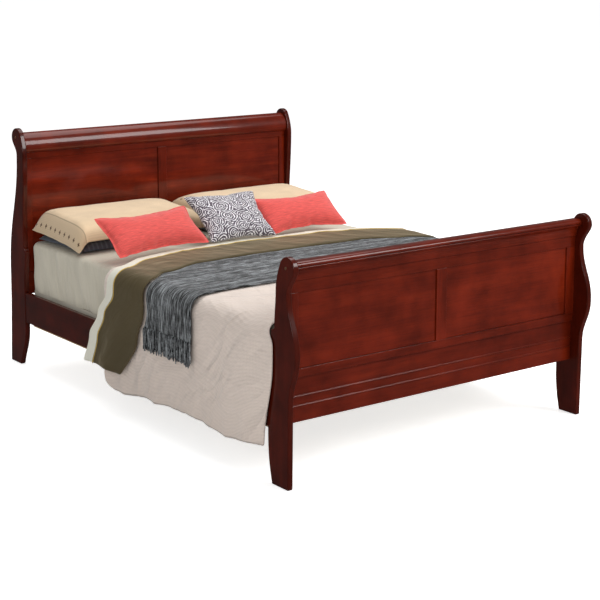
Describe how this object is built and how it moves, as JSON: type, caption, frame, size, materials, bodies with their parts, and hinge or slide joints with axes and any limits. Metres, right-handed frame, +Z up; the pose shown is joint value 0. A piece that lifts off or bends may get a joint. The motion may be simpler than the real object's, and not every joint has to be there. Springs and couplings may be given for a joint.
{
  "type": "sleigh bed",
  "caption": "Queen sleigh bed with S-curved end posts, panelled headboard and footboard, plain side rails and slats, made up with mattress, coverlet, throw, pillows and cushions.",
  "frame": {"origin": "on the floor, under the middle of the whole bed", "axes": "+X across the bed, +Y from the foot end to the head end, +Z up"},
  "size_m": [1.686, 2.354, 1.168],
  "materials": {
    "cherry_wood": "high gloss lacquer over dark cherry stain",
    "pine": "plain sawn",
    "black_steel": "satin",
    "nylon": "matt",
    "cap_metal": "satin",
    "ticking": "woven cotton",
    "coverlet_cotton": "fine quilted cotton",
    "olive_sateen": "cotton sateen, soft sheen",
    "grey_wool": "streaked woven wool",
    "charcoal_cotton": "woven cotton",
    "sand_cotton": "woven cotton",
    "coral_cotton": "slub cotton",
    "flower_cotton": "printed cotton"
  },
  "bodies": {
    "bed_frame": {"footboard_post_left": "cherry_wood", "headboard_post_left": "cherry_wood", "footboard_stile_left": "cherry_wood", "headboard_stile_left": "cherry_wood", "footboard_panel_left": "cherry_wood", "headboard_panel_left": "cherry_wood", "side_rail_left": "cherry_wood", "footboard_screw_cap_left": "cap_metal", "headboard_screw_cap_left": "cap_metal", "slat_cleat_left": "pine", "rail_hook_foot_left": "black_steel", "post_catch_foot_left": "black_steel", "rail_hook_head_left": "black_steel", "post_catch_head_left": "black_steel", "footboard_post_right": "cherry_wood", "headboard_post_right": "cherry_wood", "footboard_stile_right": "cherry_wood", "headboard_stile_right": "cherry_wood", "footboard_panel_right": "cherry_wood", "headboard_panel_right": "cherry_wood", "side_rail_right": "cherry_wood", "footboard_screw_cap_right": "cap_metal", "headboard_screw_cap_right": "cap_metal", "slat_cleat_right": "pine", "rail_hook_foot_right": "black_steel", "post_catch_foot_right": "black_steel", "rail_hook_head_right": "black_steel", "post_catch_head_right": "black_steel", "footboard_crown_cap": "cherry_wood", "footboard_cove_moulding": "cherry_wood", "footboard_upper_rail": "cherry_wood", "footboard_lower_rail": "cherry_wood", "footboard_stile_centre": "cherry_wood", "footboard_apron": "cherry_wood", "headboard_crown": "cherry_wood", "headboard_upper_rail": "cherry_wood", "headboard_lower_rail": "cherry_wood", "headboard_stile_centre": "cherry_wood", "slat_1": "pine", "slat_2": "pine", "slat_3": "pine", "slat_4": "pine", "slat_5": "pine", "centre_leg_1": "pine", "centre_leg_2": "pine", "foundation": "ticking"},
    "mattress_and_bedding": {"mattress": "ticking", "coverlet": "coverlet_cotton", "coverlet_fold": "olive_sateen", "throw_blanket": "grey_wool", "sleeping_pillow_left": "charcoal_cotton", "sleeping_pillow_right": "charcoal_cotton", "pillow_sham_left": "sand_cotton", "pillow_sham_right": "sand_cotton"},
    "lumbar_cushion_left": {"lumbar_cushion_left": "coral_cotton"},
    "square_cushion": {"square_cushion": "flower_cotton"},
    "lumbar_cushion_right": {"lumbar_cushion_right": "coral_cotton"},
    "leveller_1": {"leveller_1": "nylon"},
    "leveller_2": {"leveller_2": "nylon"}
  },
  "joints": [
    {"name": "mattress_lift", "type": "slide", "parent": "bed_frame", "child": "mattress_and_bedding", "axis": [0, 0, 1], "range_m": [0, 0.2]},
    {"name": "lumbar_cushion_left_lift", "type": "slide", "parent": "mattress_and_bedding", "child": "lumbar_cushion_left", "axis": [0, 0, 1], "range_m": [0, 0.15]},
    {"name": "square_cushion_lift", "type": "slide", "parent": "mattress_and_bedding", "child": "square_cushion", "axis": [0, 0, 1], "range_m": [0, 0.15]},
    {"name": "lumbar_cushion_right_lift", "type": "slide", "parent": "mattress_and_bedding", "child": "lumbar_cushion_right", "axis": [0, 0, 1], "range_m": [0, 0.15]},
    {"name": "leveller_1_screw", "type": "slide", "parent": "bed_frame", "child": "leveller_1", "axis": [0, 0, 1], "range_m": [0, 0.012]},
    {"name": "leveller_2_screw", "type": "slide", "parent": "bed_frame", "child": "leveller_2", "axis": [0, 0, 1], "range_m": [0, 0.012]}
  ]
}
